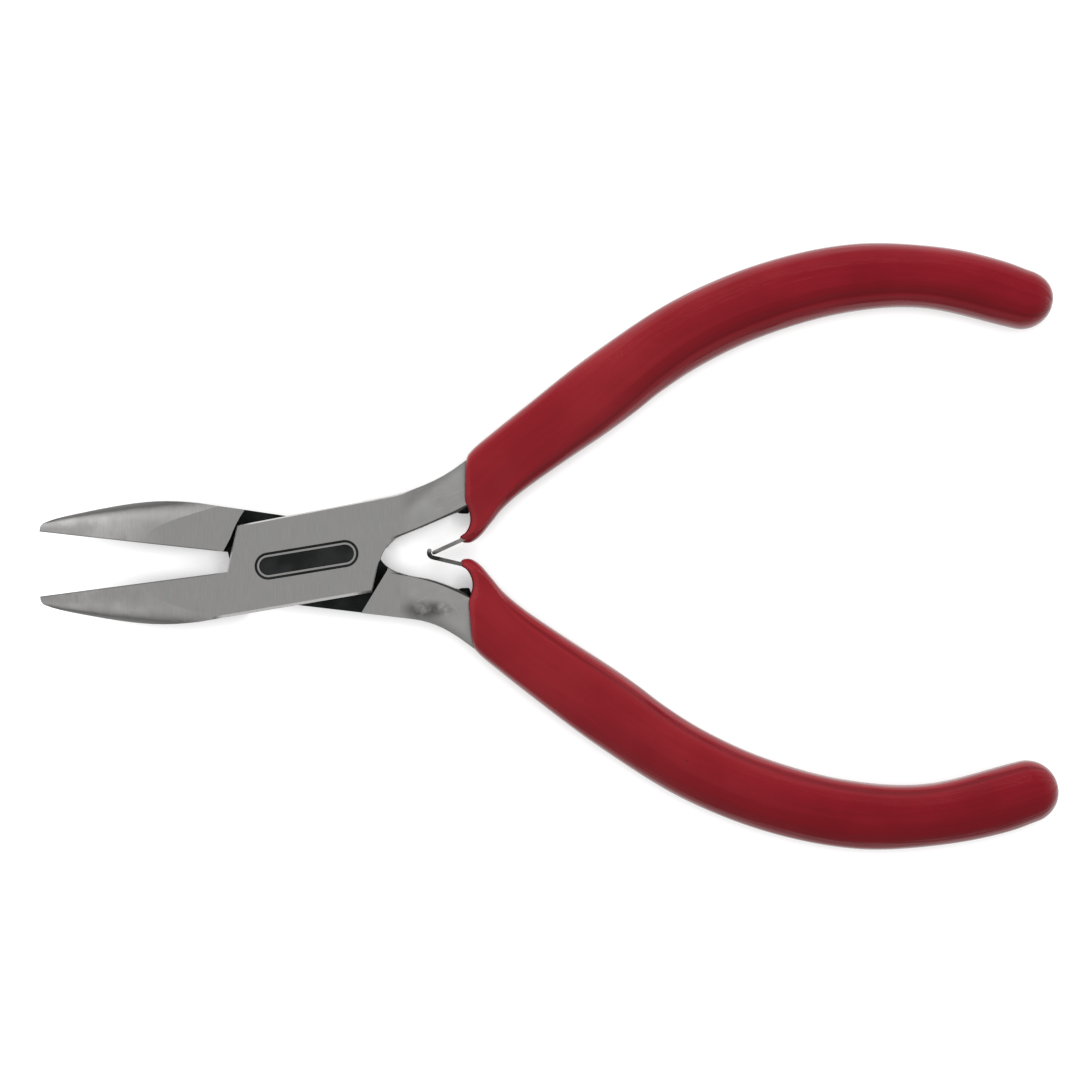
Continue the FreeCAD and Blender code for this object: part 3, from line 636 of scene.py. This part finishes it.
class Handle:
    """One dipped handle as rings across it, from the lip at the neck to the rounded end."""

    def __init__(self, side):
        self.side = side
        self.outer = spline(OUTER + [end_point(END_HALF_ANGLE)])
        self.inner = spline(INNER + [end_point(-END_HALF_ANGLE)])
        self.front = spline(FRONT)

    def crease_at(self, share):
        front, back = CREASE_AT[self.side]
        return front + (back - front) * smooth(share, 0.15, 0.5)

    @staticmethod
    def inner_share(share):
        """The inner edge starts further forward, at the nose, so its first stretch goes faster."""
        return share + 0.10 * math.sin(math.pi * min(1.0, share / 0.9)) * (1 - share) ** 2

    @staticmethod
    def across(n):
        """From -1 at the outer edge to 1 at the inner edge, for a step round the ring."""
        return -math.cos(math.pi * n / HALF_RING)

    @staticmethod
    def rise(n, across, squareness):
        """The section's height over its middle plane, as a share: positive over the top, then negative."""
        base = OUTER_POWER if across < 0 else INNER_POWER
        power = base + (LIP_POWER - base) * squareness
        height = max(0.0, 1 - abs(across) ** power) ** (1 / power)
        return height if n <= HALF_RING else -height

    def place(self, share, n, inset=0.0):
        """A point of the ring at a share of the handle's length."""
        outer, inner = self.outer(share), self.inner(self.inner_share(share))
        outer += (inner - outer).normalized() * END_ROUNDING[self.side] * smooth(share, END_SHARE, 1.0)
        front_fade = (1 - smooth(share, 0.0, FRONT_SHARE)) ** 1.3
        across = self.across(n)
        rise = self.rise(n, across, 1 - smooth(share, 0.0, SQUARE_SHARE))
        across *= 1 - inset / ((inner - outer).length / 2)
        fraction = (1 + across) / 2
        nose = front_fade * smooth(fraction, 0.42, 0.72)
        crease = math.exp(-((fraction - self.crease_at(share)) / CREASE_WIDTH) ** 2)
        crease *= smooth(share, 0.03, 0.12) * (1 - smooth(share, 0.9, 1.0))
        half_height = MID - NOSE_THINNING * nose - inset - CREASE_DEPTH * crease
        front_chord = self.outer(0.0).lerp(self.inner(self.inner_share(0.0)), fraction)
        lip = self.front(fraction) - front_chord
        if self.side < 0:
            lip += Vector(LIP_SHIFT) * (1 - fraction)
        flat = outer.lerp(inner, fraction) + lip * front_fade
        return Vector((*flat, half_height * rise))

    def end_place(self, turn, n):
        """A point on a ring of the rounded end: turn is 0 at the start of the arc and 1 at the tip."""
        degrees = END_HALF_ANGLE * (1 - turn)
        outer, inner = Vector(end_point(degrees)), Vector(end_point(-degrees))
        cut = END_ROUNDING[self.side] * math.sin(math.radians(degrees)) ** 2
        outer += (inner - outer).normalized() * cut
        across = self.across(n)
        half_height = MID * (1 - math.cos(math.radians(degrees)) ** END_POWER) ** (1 / END_POWER)
        flat = outer.lerp(inner, (1 + across) / 2)
        return Vector((flat.x, flat.y, half_height * self.rise(n, across, 0.0)))

    def rings(self):
        """Each ring's share of the handle's length, and its points."""
        steps = range(2 * HALF_RING)
        for degrees in LIP_STEPS:
            inset = LIP_ROUNDING * (1 - math.cos(math.radians(degrees)))
            share = LIP_SHARE * (1 - math.sin(math.radians(degrees)))
            yield share, [self.place(share, n, inset) for n in steps]
        for station in range(1, STATIONS + 1):
            share = LIP_SHARE + (1 - LIP_SHARE) * (station / STATIONS) ** CROWDING
            yield share, [self.place(share, n) for n in steps]
        for ring in range(1, END_RINGS):
            along = ring / END_RINGS
            turn = 0.6 * along + 0.4 * (1 - math.cos(math.pi / 2 * along))
            yield 1.0, [self.end_place(turn, n) for n in steps]

    def object(self, name):
        """The handle as an object. Its flow attribute is the mm along it, from the crease, and up."""
        mesh = bmesh.new()
        flow = mesh.verts.layers.float_vector.new("flow")
        around = 2 * HALF_RING
        built = []
        length, middle = 0.0, None
        for share, row in self.rings():
            now = row[HALF_RING // 2]
            length += (now - middle).length if middle else 0.0
            middle = now
            ring = []
            for n, place in enumerate(row):
                vertex = mesh.verts.new(place)
                from_crease = (1 + self.across(n)) / 2 - self.crease_at(share)
                vertex[flow] = (length, from_crease * HANDLE_WIDTH, place.z)
                ring.append(vertex)
            built.append(ring)
        for ring, after in zip(built, built[1:]):
            for n in range(around):
                m = (n + 1) % around
                mesh.faces.new((ring[n], after[n], after[m], ring[m]))
        tip = mesh.verts.new(Vector((*end_point(0.0), 0.0)))
        tip[flow] = (length, 0.0, 0.0)
        for n in range(around):
            mesh.faces.new((built[-1][n], tip, built[-1][(n + 1) % around]))
        self.close_front(mesh, built[0])
        for vertex in mesh.verts:
            vertex.co.y = self.side * vertex.co.y + MIRROR_Y
            vertex.co.z += MID
        bmesh.ops.recalc_face_normals(mesh, faces=mesh.faces)
        return smooth_object(name, mesh)

    def close_front(self, mesh, ring):
        """The web of vinyl between the neck and the leaf, and the opening that the neck goes into."""
        around = len(ring)
        split = next(n for n in range(HALF_RING) if (1 + self.across(n)) / 2 > NECK_SHARE)
        levels = WEB_LEVELS
        columns = []
        for n in range(split, HALF_RING):
            top, bottom = ring[n], ring[around - n]
            inner = [mesh.verts.new(top.co.lerp(bottom.co, k / levels)) for k in range(1, levels)]
            columns.append([top] + inner + [bottom])
        for a, b in zip(columns, columns[1:]):
            for k in range(levels):
                mesh.faces.new((a[k], b[k], b[k + 1], a[k + 1]))
        for k in range(levels):
            mesh.faces.new((columns[-1][k], ring[HALF_RING], columns[-1][k + 1]))
        mouth = ring[0:split] + columns[0] + ring[around - split + 1:]
        inside = [mesh.verts.new(v.co + Vector((*NECK_DEPTH, 0))) for v in mouth]
        for n in range(len(mouth)):
            m = (n + 1) % len(mouth)
            mesh.faces.new((mouth[n], mouth[m], inside[m], inside[n]))
        mesh.faces.new(inside[::-1])


# The bar's root, seen in the corner between the neck and the lip, measured as the handles are
ROOT_OUTLINE = [(16.7, 4.42), (17.2, 4.20), (18.15, 4.18), (18.5, 5.2), (18.4, 6.0), (17.3, 5.3)]
ROOT_HEIGHTS = (1.9, 4.75)
ROOT_ROUNDING = 0.14


def bar_root(name, side):
    mesh = bmesh.new()
    low, high = ([mesh.verts.new((x, side * y + MIRROR_Y, z)) for x, y in ROOT_OUTLINE]
                 for z in ROOT_HEIGHTS)
    mesh.faces.new(low[::-1])
    mesh.faces.new(high)
    for n in range(len(low)):
        m = (n + 1) % len(low)
        mesh.faces.new((low[n], low[m], high[m], high[n]))
    bmesh.ops.recalc_face_normals(mesh, faces=mesh.faces)
    bmesh.ops.bevel(mesh, geom=mesh.edges[:], offset=ROOT_ROUNDING, segments=3, profile=0.5, affect="EDGES")
    return smooth_object(name, mesh)


# ---------------------------------------------------------------- the pieces

STEEL = steel_material()
SPRING = spring_material()
RIVET = rivet_material()
VINYL = vinyl_material()
BLACK = root_material()

# By the start of the CAD node's name; the others are vinyl
LOOKS = {"half": STEEL, "leaf_spring": SPRING, "spring_rivet": RIVET, "pivot_rivet": RIVET}

for name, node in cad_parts.items():
    look = next((material for start, material in LOOKS.items() if name.startswith(start)), VINYL)
    node.data.materials.clear()
    node.data.materials.append(look)

for letter, side in (("a", 1), ("b", -1)):
    handle = Handle(side).object("dipped_handle_" + letter)
    handle.data.materials.append(VINYL)
    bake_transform(handle)
    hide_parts("grip_" + letter, "boot_" + letter)
    root = bar_root("bar_root_" + letter, side)
    root.data.materials.append(BLACK)
    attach(root, "half_" + letter)


# ---------------------------------------------------------------- floor, light and camera

FLOOR_SIZE = 3.0            # metres
FLOOR_PLACE = (0.03, 0, -0.00002)

bpy.ops.mesh.primitive_plane_add(size=FLOOR_SIZE, location=FLOOR_PLACE)
floor = bpy.context.object
floor.name = "floor"
floor.data.materials.append(floor_material())

LOW_SKY = (0.62, 1.15)      # strength near the horizon, on the -Y side and on the +Y side
HIGH_SKY = 0.53
SKY_CHANGE = (0.15, 0.75)   # height in the sky, 0 at the horizon and 1 overhead, between the two

scene = bpy.context.scene
scene.view_settings.view_transform = "Standard"
world = bpy.data.worlds.new("studio")
scene.world = world
world.use_nodes = True
sky = world.node_tree.nodes["Background"]
sky.inputs["Color"].default_value = (1.0, 1.0, 1.0, 1.0)
sky_graph = Graph(world)
_, sky_y, sky_z = sky_graph.split(sky_graph.direction)
low_side = sky_graph.scaled(sky_y, *LOW_SKY, -1.0, 1.0)
sky_graph.put(sky_graph.blend(sky_graph.ramp(sky_z, *SKY_CHANGE), low_side, HIGH_SKY), sky.inputs["Strength"])


LAMP_COLOUR = (1.0, 0.99, 0.975)


def soft_box(name, place, target, size, power):
    """A soft lamp, in metres and watts, whose own reflection doesn't show."""
    lamp = bpy.data.lights.new(name, "AREA")
    lamp.shape = "RECTANGLE"
    lamp.size, lamp.size_y = size
    lamp.energy = power
    lamp.color = LAMP_COLOUR
    lamp_object = bpy.data.objects.new(name, lamp)
    lamp_object.location = place
    lamp_object.rotation_euler = (Vector(target) - Vector(place)).to_track_quat("-Z", "Y").to_euler()
    lamp_object.visible_glossy = False
    scene.collection.objects.link(lamp_object)


soft_box("key_light", (0.00, 0.60, 0.68), (0.03, 0, 0), (0.50, 0.40), 6.4)

CAMERA_OVER = (0.0262, 0.0021)      # metres, as the two below are
CAMERA_HEIGHT = 0.70
VIEW_WIDTH = 0.1219         # across the picture, at the tool's middle height
CAMERA_TURN = -0.62
SENSOR_WIDTH = 36.0

camera_data = bpy.data.cameras.new("camera")
camera = bpy.data.objects.new("camera", camera_data)
camera.location = (*CAMERA_OVER, CAMERA_HEIGHT + MID * MM)
camera.rotation_euler = (0, 0, math.radians(CAMERA_TURN))
camera_data.sensor_width = SENSOR_WIDTH
camera_data.lens = SENSOR_WIDTH * CAMERA_HEIGHT / VIEW_WIDTH
scene.collection.objects.link(camera)
scene.camera = camera
